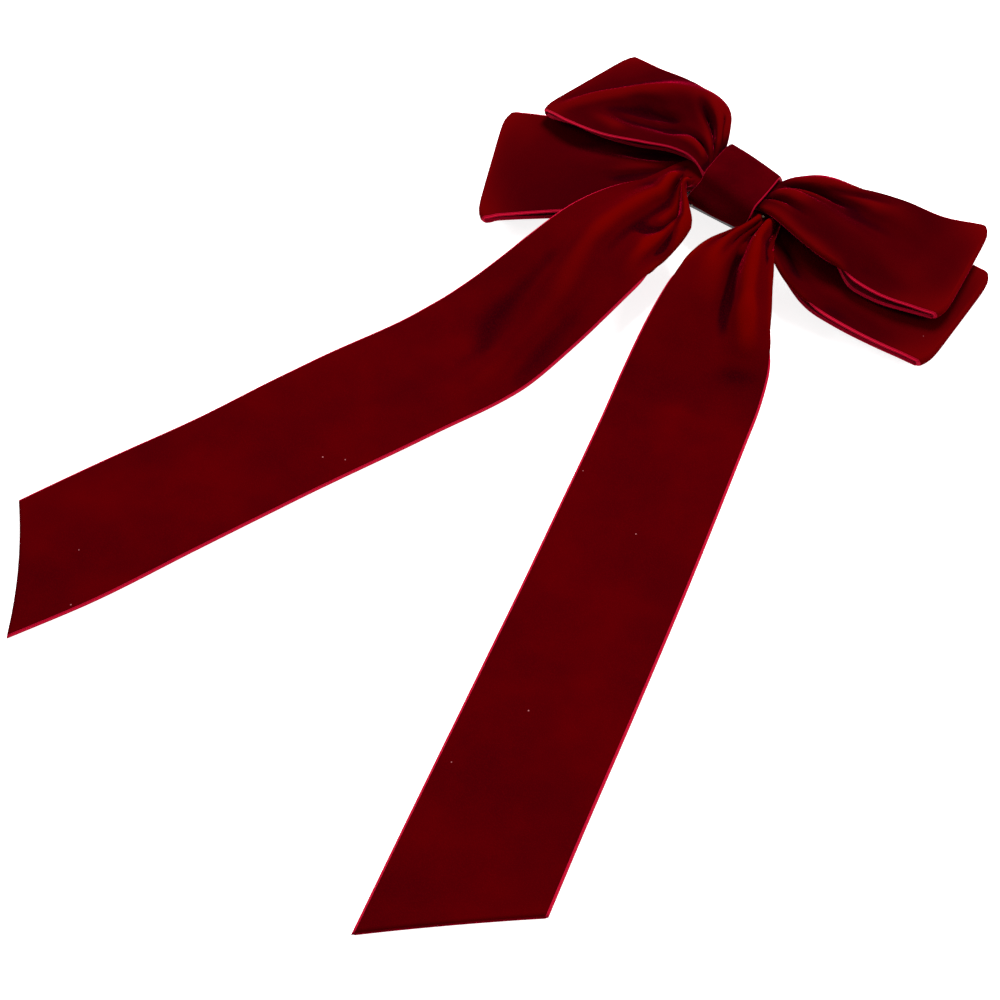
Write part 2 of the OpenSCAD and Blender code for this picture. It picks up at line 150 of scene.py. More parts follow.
def crests(s, v, rows):
    """Long folds whose place, width and height across the ribbon change along it.  The
    side of a crest towards +v is the steeper one."""
    z = np.zeros(np.broadcast(s, v).shape)
    for place, width, height in rows:
        at, wide = curve(place, s), curve(width, s)
        z = z + curve(height, s) * bump(v, at, np.where(v > at, 0.72 * wide, wide))
    return z


def tucked(s, v, rows):
    """Selvedges turned under near the knot: (edge, from s, to s, rise, die, share of the
    half width, drop).  Gives the place across for each v, and how far it drops."""
    at = v + np.zeros(np.broadcast(s, v).shape)
    drop = np.zeros(at.shape)
    for edge, s0, s1, rise, die, share, depth in rows:
        env = ease((s - s0) / rise) * ease((s1 - s) / die)
        a = np.clip((edge * v - 1 + share) / share, 0, 1)
        round_under = 1 - share * (1 - np.sin(math.pi * 1.12 * a))
        at = np.where(a > 0, mix(v, edge * round_under, env), at)
        drop = drop + depth * env * ease((a - 0.3) / 0.7)
    return at, drop


def soft_min(a, b, k=0.35):
    return np.minimum(a, b) - k * np.log1p(np.exp(-np.abs(a - b) / k))


def soft_max(a, b, k=0.35):
    return -soft_min(-a, -b, k)


def ripple(s, across, seed, scale, waves=7):
    """Low, smooth unevenness of soft cloth, from a few crossing waves."""
    rng = np.random.RandomState(seed)
    z = 0.0
    for _ in range(waves):
        angle, phase = rng.uniform(0, math.pi), rng.uniform(0, 2 * math.pi)
        length = scale * rng.uniform(0.7, 1.8)
        z = z + np.sin((s * math.cos(angle) + across * math.sin(angle))
                       * 2 * math.pi / length + phase)
    return z / waves


def rounded(corners, reach, steps=8):
    """Closed outline with each corner rounded over its own reach."""
    corners = np.array(corners, float)
    points = []
    for i, p in enumerate(corners):
        a, b = corners[i - 1] - p, corners[(i + 1) % len(corners)] - p
        start = p + a / np.linalg.norm(a) * reach[i]
        stop = p + b / np.linalg.norm(b) * reach[i]
        for t in np.linspace(0, 1, steps):
            points.append(mix(mix(start, p, t), mix(p, stop, t), t))
    return np.array(points)


def resampled(line, count):
    """Evenly spaced points on a closed outline."""
    closed = np.vstack([line, line[:1]])
    run = np.concatenate([[0], np.cumsum(np.linalg.norm(np.diff(closed, axis=0), axis=1))])
    at = np.linspace(0, run[-1], count, endpoint=False)
    return np.stack([np.interp(at, run, closed[:, i]) for i in range(2)], -1)


# ---- Ribbon meshes ---------------------------------------------------------------------
SELVEDGE_V = 0.968       # where the pile stops and the woven edge starts
FOLDED_V = 0.975         # the same on a strip whose edges are folded under
GROUND_T = 0.5           # the woven ground alone, at the selvedge
PILE, BACK, SELVEDGE, CUT = range(4)    # material slots of a ribbon


def columns(n=34):
    """Places across a ribbon from edge to edge, close together at the selvedges."""
    edge = np.array([0.956, SELVEDGE_V, 0.974, 0.978, 0.988, 0.995, 1.0])
    inside = np.linspace(-0.945, 0.945, n)
    return np.concatenate([-edge[::-1], inside, edge])


def thickness(v):
    """Full under the pile, rounded down to the ground weave at the selvedges."""
    a = np.abs(v)
    t = np.full(a.shape, VELVET_T)
    shoulder = np.clip((a - 0.953) / (0.977 - 0.953), 0, 1)
    t = mix(t, GROUND_T, 1 - np.sqrt(np.clip(1 - shoulder ** 2, 0, 1)))
    tip = np.clip((a - 0.987) / (1 - 0.987), 0, 1)
    return t * np.sqrt(np.clip(1 - tip ** 2, 0, 1))


def folded_thickness(v):
    """A strip whose edges are folded under: full and round to the very edge."""
    tip = np.clip((np.abs(v) - 0.94) / 0.06, 0, 1)
    return VELVET_T * np.sqrt(np.clip(1 - tip ** 2, 0, 1))


def normals(grid, closed):
    if closed:
        along = np.roll(grid, -1, 0) - np.roll(grid, 1, 0)
    else:
        along = np.gradient(grid, axis=0)
    across = np.gradient(grid, axis=1)
    n = np.cross(across, along)
    return n / np.maximum(np.linalg.norm(n, axis=2, keepdims=True), 1e-9)


def relief(grid, n, closed):
    """How far each point of the cloth stands out of its own surroundings, in mm: above
    zero on the crown of a fold, below zero in a crease."""
    rows_pad, cols_pad = 3, 2
    flat = grid
    for _ in range(3):
        wide = np.pad(flat, ((rows_pad, rows_pad), (0, 0), (0, 0)),
                      mode="wrap" if closed else "edge")
        flat = np.mean([wide[i:i + len(grid)] for i in range(2 * rows_pad + 1)], axis=0)
        wide = np.pad(flat, ((0, 0), (cols_pad, cols_pad), (0, 0)), mode="reflect",
                      reflect_type="odd")
        flat = np.mean([wide[:, i:i + grid.shape[1]] for i in range(2 * cols_pad + 1)],
                       axis=0)
    return ((grid - flat) * n).sum(2)


def shell_faces(rows, cols, v, closed, folded_edges):
    """Quads of both sides of a ribbon and, if it is open, of its two cut ends, with the
    material slot of each.  The under side shares the edge points of the top side."""
    at_top = np.arange(rows * cols).reshape(rows, cols)
    at_under = np.empty((rows, cols), int)
    at_under[:, 1:-1] = rows * cols + np.arange(rows * (cols - 2)).reshape(rows, cols - 2)
    at_under[:, 0], at_under[:, -1] = at_top[:, 0], at_top[:, -1]
    r0 = np.arange(rows if closed else rows - 1)
    r1 = (r0 + 1) % rows

    def quads(at):
        a, b = at[r0][:, :-1], at[r0][:, 1:]
        d, c = at[r1][:, :-1], at[r1][:, 1:]
        return np.stack([a, b, c, d], -1).reshape(-1, 4)

    faces = [quads(at_top), quads(at_under)[:, ::-1]]
    v_mid = np.abs(v[:-1] + v[1:]) / 2
    edge_face = np.tile(v_mid > (FOLDED_V if folded_edges else SELVEDGE_V), len(r0))
    slots = [np.where(edge_face, SELVEDGE, PILE), np.where(edge_face, SELVEDGE, BACK)]
    if not closed:
        for row, turn in ((0, 1), (rows - 1, -1)):
            a, b = at_top[row, :-1], at_top[row, 1:]
            d, c = at_under[row, :-1], at_under[row, 1:]
            cap = np.stack([a, d, c, b], -1)[:, ::turn]
            faces.append(cap)
            slots.append(np.full(len(cap), CUT))
    return np.concatenate(faces), np.concatenate(slots)


def ribbon(name, grid, v, materials, closed=False, flip=1, folded_edges=False,
           fold_highlight=0.0):
    """A velvet ribbon with its pile on one side, from the grid of its middle surface:
    rows run along it and columns across it at v.  Its "lie" attribute holds the place
    along it, the place across it, and how far the cloth stands out there, with the
    painted highlight beside a loop's fold added; the pile paints its crown highlight and
    crease shade from this last entry."""
    rows, cols = grid.shape[:2]
    n = normals(grid, closed) * flip
    half = (folded_thickness(v) if folded_edges else thickness(v))[None, :, None] / 2

    def both_sides(at_top, at_under, size):
        return np.concatenate([at_top.reshape(-1, size),
                               at_under[:, 1:-1].reshape(-1, size)])

    verts = both_sides(grid + n * half, grid - n * half, 3)
    step = np.linalg.norm(np.diff(grid, axis=0), axis=2).mean(1)
    run = np.concatenate([[0], np.cumsum(step)])
    place = np.stack([np.repeat(run[:, None], cols, 1),
                      np.repeat(v[None, :] * RIBBON_W / 2, rows, 0)], -1)
    # Painted light: how far the cloth stands out, plus the painted highlight beside a loop's fold,
    # sets the painted highlight and shade of the pile.
    stands = relief(grid, n, closed) + fold_highlight
    lie_of = np.concatenate([both_sides(place, place, 2), both_sides(stands, -stands, 1)], 1)

    faces, slots = shell_faces(rows, cols, v, closed, folded_edges)
    if flip < 0:
        faces = faces[:, ::-1]
    # The outermost quads of a cut end are triangles, as both sides meet at the edges.
    polys = [[int(i) for i in dict.fromkeys(f)] for f in faces.tolist()]
    keep = [i for i, p in enumerate(polys) if len(p) >= 3]
    mesh = bpy.data.meshes.new(name)
    mesh.from_pydata((verts * MM).tolist(), [], [polys[i] for i in keep])
    mesh.polygons.foreach_set("material_index", slots[keep].astype(np.int32))
    for m in materials:
        mesh.materials.append(m)
    lie = mesh.attributes.new("lie", "FLOAT_VECTOR", "POINT")
    lie.data.foreach_set("vector", lie_of.astype(np.float32).ravel())
    mesh.shade_smooth()
    mesh.update()
    ob = linked(name, mesh)
    ob["run_mm"] = float(run[-1])
    return ob


# ---- Materials -------------------------------------------------------------------------
def feed(tree, socket, value):
    """Give a socket a number or colour, or link it to another node's output."""
    if isinstance(value, bpy.types.NodeSocket):
        tree.links.new(value, socket)
    else:
        socket.default_value = value


def node(tree, kind, inputs=None, **settings):
    made = tree.nodes.new(kind)
    for key, value in settings.items():
        setattr(made, key, value)
    for key, value in (inputs or {}).items():
        feed(tree, made.inputs[key], value)
    return made


def new_material(name):
    material = bpy.data.materials.new(name)
    material.use_nodes = True
    tree = material.node_tree
    return material, tree, tree.nodes["Principled BSDF"]


def fixed(shader, numbers):
    """Numbers and colours that are the same all over, set on the shader's own sockets."""
    for key, value in numbers.items():
        shader.inputs[key].default_value = value


def place_on(tree):
    return node(tree, "ShaderNodeTexCoord").outputs["Object"]


def noise(tree, where, scale, detail=2.0, rough=0.5):
    return node(tree, "ShaderNodeTexNoise", {
        "Vector": where, "Scale": scale, "Detail": detail, "Roughness": rough,
    }).outputs["Fac"]


def span(tree, value, low, high, to_low=0.0, to_high=1.0):
    return node(tree, "ShaderNodeMapRange", {
        "Value": value, "From Min": low, "From Max": high,
        "To Min": to_low, "To Max": to_high},
        interpolation_type="SMOOTHSTEP").outputs["Result"]


def blend_colour(tree, fac, a, b):
    made = node(tree, "ShaderNodeMix", data_type="RGBA")
    for key, value in (("Factor", fac), ("A", a), ("B", b)):
        kind = "VALUE" if key == "Factor" else "RGBA"
        feed(tree, next(s for s in made.inputs if s.name == key and s.type == kind), value)
    return next(s for s in made.outputs if s.type == "RGBA")


def maths(tree, op, a, b):
    made = node(tree, "ShaderNodeMath", operation=op)
    feed(tree, made.inputs[0], a)
    feed(tree, made.inputs[1], b)
    return made.outputs[0]


def bumped(tree, shader, height, strength, distance):
    made = node(tree, "ShaderNodeBump", {
        "Height": height, "Strength": strength, "Distance": distance})
    tree.links.new(made.outputs["Normal"], shader.inputs["Normal"])


# Linear colours of the tails' pile: brushed down and brushed up, and the painted
# highlight on the crown of a fold and the painted shade in a crease.  CRIMSON is the
# tint of its sheen.
DARK = (0.026, 0.0, 0.0006, 1)
LIGHT = (0.045, 0.0, 0.0004, 1)
PAINTED_CROWN_HIGHLIGHT = (0.068, 0.0003, 0.0, 1)
PAINTED_CREASE_SHADE = (0.009, 0.0, 0.0008, 1)
CRIMSON = (0.85, 0.0, 0.042, 1)
LINT = (0.45, 0.16, 0.17, 1)


def velvet(name, dark, light, sheen, sheen_weight=0.62, crown=PAINTED_CROWN_HIGHLIGHT, crease=PAINTED_CREASE_SHADE):
    """Short dense pile: dark where it stands towards the eye, with a soft sheen at
    glancing angles and patches where the nap has been stroked the other way.  The crowns
    of its folds carry a painted highlight and its creases painted shade."""
    material, tree, shader = new_material(name)
    at = place_on(tree)
    nap = noise(tree, at, 38.0, 3.0, 0.55)           # broad patches, about 26 mm
    stroke = noise(tree, at, 140.0, 2.0, 0.5)        # finger marks, about 7 mm
    fibres = noise(tree, at, 3200.0, 2.0, 0.6)       # tufts, about 0.3 mm
    patch = maths(tree, "ADD", maths(tree, "MULTIPLY", nap, 0.8),
                  maths(tree, "MULTIPLY", stroke, 0.2))
    colour = blend_colour(tree, span(tree, patch, 0.20, 0.84), dark, light)
    # Painted highlight on the crown of a fold and painted shade in a crease, from how
    # far the cloth stands out there.
    lie = node(tree, "ShaderNodeAttribute", attribute_name="lie").outputs["Vector"]
    stands = node(tree, "ShaderNodeSeparateXYZ", {"Vector": lie}).outputs["Z"]
    colour = blend_colour(tree, span(tree, stands, 0.08, 0.9), colour, crown)
    colour = blend_colour(tree, span(tree, stands, -0.05, -0.45), colour, crease)
    tips = tuple(1.5 * c for c in light[:3]) + (1,)
    colour = blend_colour(tree, span(tree, fibres, 0.40, 0.75, 0.0, 0.3), colour, tips)
    # A few specks of lint, as any velvet picks up.
    cells = node(tree, "ShaderNodeTexVoronoi", {"Vector": at, "Scale": 170.0})
    chance = node(tree, "ShaderNodeSeparateXYZ", {"Vector": cells.outputs["Color"]})
    lint = maths(tree, "MULTIPLY", span(tree, cells.outputs["Distance"], 0.045, 0.02),
                 span(tree, chance.outputs["X"], 0.80, 0.82))
    colour = blend_colour(tree, maths(tree, "MULTIPLY", lint, 0.5), colour, LINT)
    tree.links.new(colour, shader.inputs["Base Color"])
    fixed(shader, {"Roughness": 1.0, "Specular IOR Level": 0.0, "Sheen Tint": sheen,
                   "Sheen Weight": sheen_weight, "Sheen Roughness": 0.22})
    bumped(tree, shader, fibres, 0.35, 0.0003)
    return material


def woven_back(name, colour, light):
    """The bare back of the velvet: a close satin weave along the ribbon."""
    material, tree, shader = new_material(name)
    at = node(tree, "ShaderNodeAttribute", attribute_name="lie").outputs["Vector"]
    warp, weft = [node(tree, "ShaderNodeTexWave",
                       {"Vector": at, "Scale": scale, "Distortion": 0.3},
                       bands_direction=axis, wave_type="BANDS").outputs["Fac"]
                  for axis, scale in (("Y", 0.9), ("X", 0.7))]
    weave = maths(tree, "MULTIPLY", warp, weft)
    tree.links.new(blend_colour(tree, weave, colour, light), shader.inputs["Base Color"])
    fixed(shader, {"Roughness": 0.6, "Specular IOR Level": 0.03, "Sheen Weight": 0.2,
                   "Sheen Tint": light})
    bumped(tree, shader, weave, 0.3, 0.0001)
    return material


def steel(name, tint, rough):
    """Plated spring steel: fine drawn streaks along the strip and a little tarnish."""
    streak = 0.12
    material, tree, shader = new_material(name)
    at = place_on(tree)
    stretched = node(tree, "ShaderNodeMapping", {"Vector": at, "Scale": (60, 2600, 900)})
    lines = noise(tree, stretched.outputs["Vector"], 1.0, 3.0, 0.6)
    cloud = noise(tree, at, 260.0, 4.0, 0.6)
    dull = tuple(0.72 * c for c in tint[:3]) + (1,)
    tree.links.new(blend_colour(tree, span(tree, cloud, 0.45, 0.75), tint, dull),
                   shader.inputs["Base Color"])
    tree.links.new(span(tree, lines, 0.3, 0.7, rough - streak / 2, rough + streak / 2),
                   shader.inputs["Roughness"])
    fixed(shader, {"Metallic": 1.0})
    bumped(tree, shader, lines, 0.08, 0.00005)
    return material


def thread_material(name):
    """Dark red sewing thread, fibrous along its plies."""
    material, tree, shader = new_material(name)
    at = place_on(tree)
    fibre = noise(tree, at, 5200.0, 2.0, 0.6)
    tree.links.new(blend_colour(tree, fibre, (0.05, 0.001, 0.003, 1), (0.15, 0.003, 0.01, 1)),
                   shader.inputs["Base Color"])
    fixed(shader, {"Roughness": 0.6, "Sheen Weight": 0.3})
    bumped(tree, shader, fibre, 0.5, 0.0001)
    return material


def glue_material(name):
    """Clear glue gone slightly amber, with a wet gloss."""
    material, tree, shader = new_material(name)
    at = place_on(tree)
    cloud = noise(tree, at, 600.0, 3.0)
    tree.links.new(blend_colour(tree, cloud, (0.55, 0.46, 0.28, 1), (0.72, 0.66, 0.50, 1)),
                   shader.inputs["Base Color"])
    fixed(shader, {"Roughness": 0.18, "Transmission Weight": 0.5})
    bumped(tree, shader, cloud, 0.4, 0.0002)
    return material


pile = velvet("velvet_pile", DARK, LIGHT, CRIMSON)
back = woven_back("velvet_back", (0.06, 0.0, 0.003, 1), (0.15, 0.001, 0.008, 1))
selvedge = woven_back("velvet_selvedge", (0.20, 0.0, 0.009, 1), (0.42, 0.002, 0.024, 1))
cut_edge = velvet("velvet_cut", (0.04, 0.0, 0.001, 1), (0.08, 0.0, 0.002, 1), CRIMSON)
# The knot band and the loops take darker copies of the tails' velvet: painted shade.
shaded_knot_pile = velvet("shaded_knot_pile", (0.014, 0.0, 0.0006, 1), (0.042, 0.0, 0.0009, 1), CRIMSON,
                   sheen_weight=0.46, crown=(0.040, 0.0, 0.0008, 1),
                   crease=(0.018, 0.0, 0.0008, 1))
shaded_loop_pile = velvet("shaded_loop_pile", (0.016, 0.0, 0.0006, 1), (0.028, 0.0, 0.0005, 1),
                   sheen=(0.85, 0.003, 0.060, 1), crown=(0.058, 0.0003, 0.0005, 1))
# The material slots of the tails, the loops and the knot band, in the order of PILE,
# BACK, SELVEDGE and CUT.
RIBBON = [pile, back, selvedge, cut_edge]
LOOPS = [shaded_loop_pile, back, selvedge, cut_edge]
KNOT = [shaded_knot_pile, back, selvedge, cut_edge]
thread_look = thread_material("thread_look")
glue_look = glue_material("glue_look")


# ---- Loops -----------------------------------------------------------------------------
# A rail is one selvedge of a loop in the bow's plane: (distance out, x, y).  Each loop
# has its own, because real loops are never alike.  "under" and "gap" are heights and
# clearances against the distance out, and "ceiling" is what keeps a front layer low.
V = columns()
LOOP_WAIST = 6.1         # half width of a loop inside the knot
LOOP_ROWS = 62
CORNER_LENGTH = 7.0      # stretch beside the fold where its corners fall short
FOLD_HIGHLIGHT_LENGTH = 26.0    # stretch beside the fold where the pile is painted lighter, a painted highlight
FOLD_ANGLES = (-68, -45, -22, 0, 22, 45, 68)


def corner_shift(spec, low, high, s, v):
    """The pressed corners of a fold are soft: they fall short of its middle."""
    edge_on = (low[-1] + high[-1] - low[-6] - high[-6])[0]
    edge_on = edge_on / np.linalg.norm(edge_on)
    near_fold = ease((s - spec["reach"] + CORNER_LENGTH) / CORNER_LENGTH)
    short = spec.get("corner", 2.4) * near_fold * np.abs(v) ** 9
    return short[..., None] * edge_on


def layer_heights(spec, s, v, width):
    """Heights of a loop's layer underneath and of its front layer.  The layers press on
    each other inside the knot and keep clear of each other outside it."""
    reach = spec["reach"]
    under = curve(spec["under"], s) + 0 * v
    gap = curve(spec["gap"], s) + 0 * v
    folds = pleats(s, v, spec["folds"]) + crests(s, v, spec["crests"])
    uneven = ease((s - 14) / 25) * spec["uneven"]
    folds = folds + uneven * ripple(s, v * width / 2, spec["seed"], 26)
    under = under + 0.4 * uneven * ripple(s, v * width / 2, spec["seed"] + 1, 30)
    free = ease((s - MOUTH + 0.5) / 4)
    front = under + gap + folds * ease((reach - s) / 9) * ease((s - MOUTH - 0.2) / 3)
    front = soft_max(front, under + mix(1.0, 1.25, free) + 0 * v, 0.12)
    if "ceiling" in spec:
        front = mix(front, soft_min(front, curve(spec["ceiling"], s) + 0 * v), free)
    return under, np.maximum(front, under + mix(1.17, 1.5, free))


def narrowed(spec, s, v, drop):
    """Places across the layer underneath, which stays a little narrower where the front
    one is turned under, and is held in along one edge where the spec says so."""
    less = 0.10 * ease(drop.max(1) / 1.5)[:, None]
    narrow = v[None, :] * (1 - less)
    end = spec["reach"] - spec.get("under_out", 2)
    held_in = spec.get("under_in", 0.0) * ease((s - MOUTH) / 6) * ease((end - s) / 12)
    return np.where(narrow < 0, narrow * (1 - held_in), narrow)


def fold_rows(above, below):
    """Rows round the outer fold of a loop, from the layer underneath to the front one."""
    out = (above[-1] - above[-3])[:, :2]
    out = out / np.linalg.norm(out, axis=1, keepdims=True)
    radius = (above[-1, :, 2] - below[-1, :, 2]) / 2
    middle = (above[-1, :, 2] + below[-1, :, 2]) / 2
    rows = []
    for angle in np.radians(FOLD_ANGLES):
        row = np.empty(above[-1].shape)
        row[:, :2] = above[-1, :, :2] + out * (radius * math.cos(angle))[:, None]
        row[:, 2] = middle + radius * math.sin(angle)
        rows.append(row)
    return np.array(rows)


def loop_side(spec, v):
    """Rows of one side of a ring of ribbon, from the middle of the knot out along the
    underside, round the fold and back in along the front, and the painted highlight
    that lightens the pile beside the fold."""
    s = np.concatenate([[0.0], np.linspace(3, MOUTH - 0.4, 5),
                        np.linspace(MOUTH, spec["reach"], LOOP_ROWS)])[:, None]
    low, high = rail(spec["low"], s), rail(spec["high"], s)
    under, front = layer_heights(spec, s, v, np.linalg.norm(high - low, axis=-1))
    at, drop = tucked(s, v, spec["tucks"])
    shift = corner_shift(spec, low, high, s, v)
    above = np.dstack([mix(low, high, (at[..., None] + 1) / 2) - shift, front - drop])
    inner_at = narrowed(spec, s, v, drop)
    below = np.dstack([mix(low, high, (inner_at[..., None] + 1) / 2) - shift, under])
    fold = fold_rows(above, below)
    # Painted highlight: the pile is painted lighter as the ribbon nears its fold.
    near_fold = ease((s - spec["reach"] + FOLD_HIGHLIGHT_LENGTH) / FOLD_HIGHLIGHT_LENGTH)
    turned = near_fold * (0.35 + 0.35 * v ** 2) * 0.9
    fold_highlight = np.concatenate([0 * turned, np.repeat(turned[-1:], len(fold), 0),
                             turned[::-1]])
    return np.concatenate([below, fold, above[::-1]]), fold_highlight


def ring(name, right, left, node_name):
    a, fold_highlight_a = loop_side(right, V)
    b, fold_highlight_b = loop_side(left, V)
    grid = np.concatenate([a[:-1], b[::-1][:-1]])
    # The painted highlight beside both folds, joined round the ring.
    fold_highlight = np.concatenate([fold_highlight_a[:-1], fold_highlight_b[::-1][:-1]])
    ob = ribbon(name, grid, V, LOOPS, closed=True, fold_highlight=fold_highlight)
    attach(ob, "bow")
    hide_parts(node_name)


# pleats() says what the numbers of a fold are, crests() those of a crest, and tucked()
# those of a tuck.
upper_right = {
    "reach": 66.0, "seed": 11, "uneven": 0.4, "under_in": 0.22, "under_out": 18,
    "low": [(0, 0, -LOOP_WAIST), (10, 10, -7.2), (14, 14, -7.4), (22, 22, -9.6), (30, 30.5, -11.8),
            (42, 42, -13.6), (55, 56.5, -12.4), (66, 71.4, -6.0)],
    "high": [(0, 0, LOOP_WAIST), (10, 10, 5.0), (13, 13, 7.6), (21, 21, 12.5), (30, 29.6, 16.3),
             (42, 42, 21.4), (55, 53.5, 26.4), (66, 64.0, 33.7)],
    "under": [(0, 15.92), (10, 15.92), (16, 15.3), (25, 14.3), (40, 12.6), (55, 10.4), (66, 8.9)],
    "gap": [(0, 1.17), (10, 1.17), (13, 2.2), (16, 2.8), (30, 3.4), (45, 3.4), (58, 2.4),
            (66, 1.6)],
    "folds": [
        (8, 42, 0.90, 0.82, 0.16, 0.24, 0.7, 4, 22),
        (9, 40, 0.56, 0.40, 0.10, 0.14, -3.6, 3, 16),
        (20, 44, 0.66, 0.74, 0.08, 0.10, -1.4, 6, 12),
        (9, 28, 0.22, 0.12, 0.08, 0.11, -1.8, 3, 12),
        (9, 30, -0.40, -0.46, 0.09, 0.13, -1.8, 3, 14),
        (12, 64, 0.70, 0.52, 0.28, 0.42, 2.6, 9, 30),
        (24, 60, 0.25, 0.10, 0.22, 0.30, -1.2, 12, 24),
        (40, 64, -0.70, -0.72, 0.24, 0.22, -1.0, 9, 14),
    ],
    "crests": [
        ([(8, -0.10), (30, -0.20), (66, -0.35)], [(8, 0.42), (30, 0.60), (66, 0.55)],
         [(10, 0), (15, 2.8), (26, 3.2), (44, 1.9), (60, 0.5), (66, 0)]),
    ],
    "tucks": [(-1, 9, 48, 4, 16, 0.30, 2.2), (1, 9, 36, 5, 14, 0.16, 1.9)],
}
upper_left = {
    "reach": 66.5, "seed": 23, "uneven": 0.35, "under_in": 0.14, "corner": 1.6,
    "low": [(0, 0, -LOOP_WAIST), (10, -10, -4.6), (14, -14, -3.0), (22, -22, -2.8),
            (30, -30.5, -5.0), (42, -43, -7.6), (55, -56.4, -7.2), (66.5, -67.0, -5.3)],
    "high": [(0, 0, LOOP_WAIST), (10, -10, 7.0), (13, -11.8, 10.8), (18, -15.0, 16.4),
             (26, -22.5, 22.2), (38, -36.2, 27.2), (52, -48.6, 28.9), (66.5, -59.5, 31.6)],
    "under": [(0, 15.92), (10, 15.92), (16, 15.4), (25, 14.4), (40, 12.6), (55, 10.8), (66.5, 9.8)],
    "gap": [(0, 1.17), (10, 1.17), (13, 2.3), (16, 3.1), (22, 3.7), (30, 3.6), (45, 3.0),
            (58, 2.2), (66.5, 1.5)],
    "folds": [
        (9, 22, 0.52, 0.82, 0.08, 0.08, -1.9, 3, 7),
        (9, 31, 0.08, 0.62, 0.13, 0.11, -3.3, 3, 10),
        (10, 27, 0.32, 0.74, 0.09, 0.09, 0.9, 3, 8),
        (9, 30, -0.30, -0.18, 0.10, 0.12, -2.0, 3, 14),
        (9, 40, -0.60, -0.46, 0.16, 0.20, 1.0, 5, 20),
        (20, 56, -0.42, -0.20, 0.20, 0.26, -2.6, 9, 22),
        (26, 46, -0.02, -0.16, 0.09, 0.11, -1.8, 6, 10),
        (28, 50, -0.24, -0.42, 0.08, 0.10, 1.2, 6, 12),
        (32, 52, 0.14, -0.04, 0.10, 0.12, -1.0, 8, 10),
        (34, 60, -0.80, -0.55, 0.14, 0.20, 1.2, 9, 16),
    ],
    "crests": [
        ([(10, 0.80), (20, 0.78), (30, 0.66), (44, 0.24), (56, -0.30), (66, -0.86)],
         [(8, 0.30), (20, 0.40), (34, 0.46), (50, 0.36), (66, 0.20)],
         [(10, 0), (14, 2.2), (20, 3.2), (32, 3.4), (46, 3.8), (58, 2.6), (66.5, 0.8)]),
    ],
    "tucks": [(1, 9, 36, 4, 16, 0.20, 2.0)],
}
# Both lower loops slope down from the knot to the table alike, and keep under the tails.
LOWER_UNDER = [(0, 12.33), (10, 12.33), (14, 11.6), (18, 10.9), (22, 10.4), (25, 9.9),
               (31, 8.9), (40, 7.7), (55, 5.6), (71.5, 3.6)]
LOWER_GAP = [(0, 1.17), (10, 1.17), (18, 1.5), (30, 1.9), (45, 2.1), (60, 1.9),
             (71.5, 1.6)]
LOWER_CEILING = [(0, 13.6), (12, 13.3), (18, 12.7), (25, 12.5), (40, 10.9), (55, 9.3),
                 (62, 9.0), (71.5, 9.0)]
lower_right = {
    "reach": 71.5, "seed": 31, "uneven": 0.3,
    "low": [(0, 0, -LOOP_WAIST), (10, 10, -7.6), (15, 14.6, -10.8), (22, 21.5, -16.0),
            (31, 31, -22.0), (40, 40, -24.4), (48, 48.5, -24.3), (60, 62, -22.7),
            (71.5, 75.4, -20.2)],
    "high": [(0, 0, LOOP_WAIST), (10, 10, 4.8), (15, 15, 7.6), (22, 22, 11.2), (31, 31, 13.6),
             (45, 44.5, 16.6), (60, 60, 20.0), (71.5, 72.1, 22.6)],
    "under": LOWER_UNDER, "gap": LOWER_GAP, "ceiling": LOWER_CEILING,
    "folds": [
        (9, 44, -0.58, -0.74, 0.12, 0.15, -1.8, 4, 20),
        (9, 40, 0.10, -0.1, 0.14, 0.18, -1.2, 4, 20),
        (24, 68, -0.40, -0.50, 0.30, 0.36, 1.2, 14, 24),
        (36, 70, -0.86, -0.88, 0.14, 0.18, -0.8, 12, 16),
    ],
    "crests": [
        ([(8, -0.25), (40, -0.45), (66, -0.5)], [(8, 0.24), (30, 0.28), (66, 0.3)],
         [(10, 0), (15, 1.6), (24, 1.8), (44, 1.0), (60, 0)]),
    ],
    "tucks": [(-1, 9, 46, 4, 22, 0.18, 1.3)],
}
lower_left = {
    "reach": 71.5, "seed": 41, "uneven": 0.3,
    "low": [(0, 0, -LOOP_WAIST), (10, -10, -6.6), (15, -14.4, -12.2), (22, -20, -21.0),
            (31, -26.8, -28.6), (45, -37.8, -36.6), (60, -49.0, -43.6), (71.5, -57.1, -49.2)],
    "high": [(0, 0, LOOP_WAIST), (10, -10, 6.4), (15, -15, 6.8), (22, -22, 6.8), (31, -31, 5.6),
             (45, -46.8, 2.7), (60, -65.6, -2.0), (71.5, -78.7, -6.7)],
    "under": LOWER_UNDER, "gap": LOWER_GAP, "ceiling": LOWER_CEILING,
    "folds": [
        (9, 52, 0.34, 0.06, 0.12, 0.18, 1.8, 4, 26),
        (9, 48, 0.60, 0.36, 0.11, 0.16, -2.2, 4, 24),
        (9, 44, 0.08, -0.20, 0.11, 0.16, -2.2, 4, 22),
        (9, 50, 0.84, 0.70, 0.11, 0.16, 1.6, 4, 26),
        (9, 38, -0.5, -0.65, 0.12, 0.16, -1.2, 4, 20),
        (24, 66, 0.22, 0.02, 0.3, 0.4, 1.4, 14, 26),
        (36, 66, 0.62, 0.55, 0.22, 0.26, -0.9, 12, 20),
    ],
    "crests": [],
    "tucks": [],
}
ring("upper_loop_ribbon", upper_right, upper_left, "upper_loops")
ring("lower_loop_ribbon", lower_right, lower_left, "lower_loops")


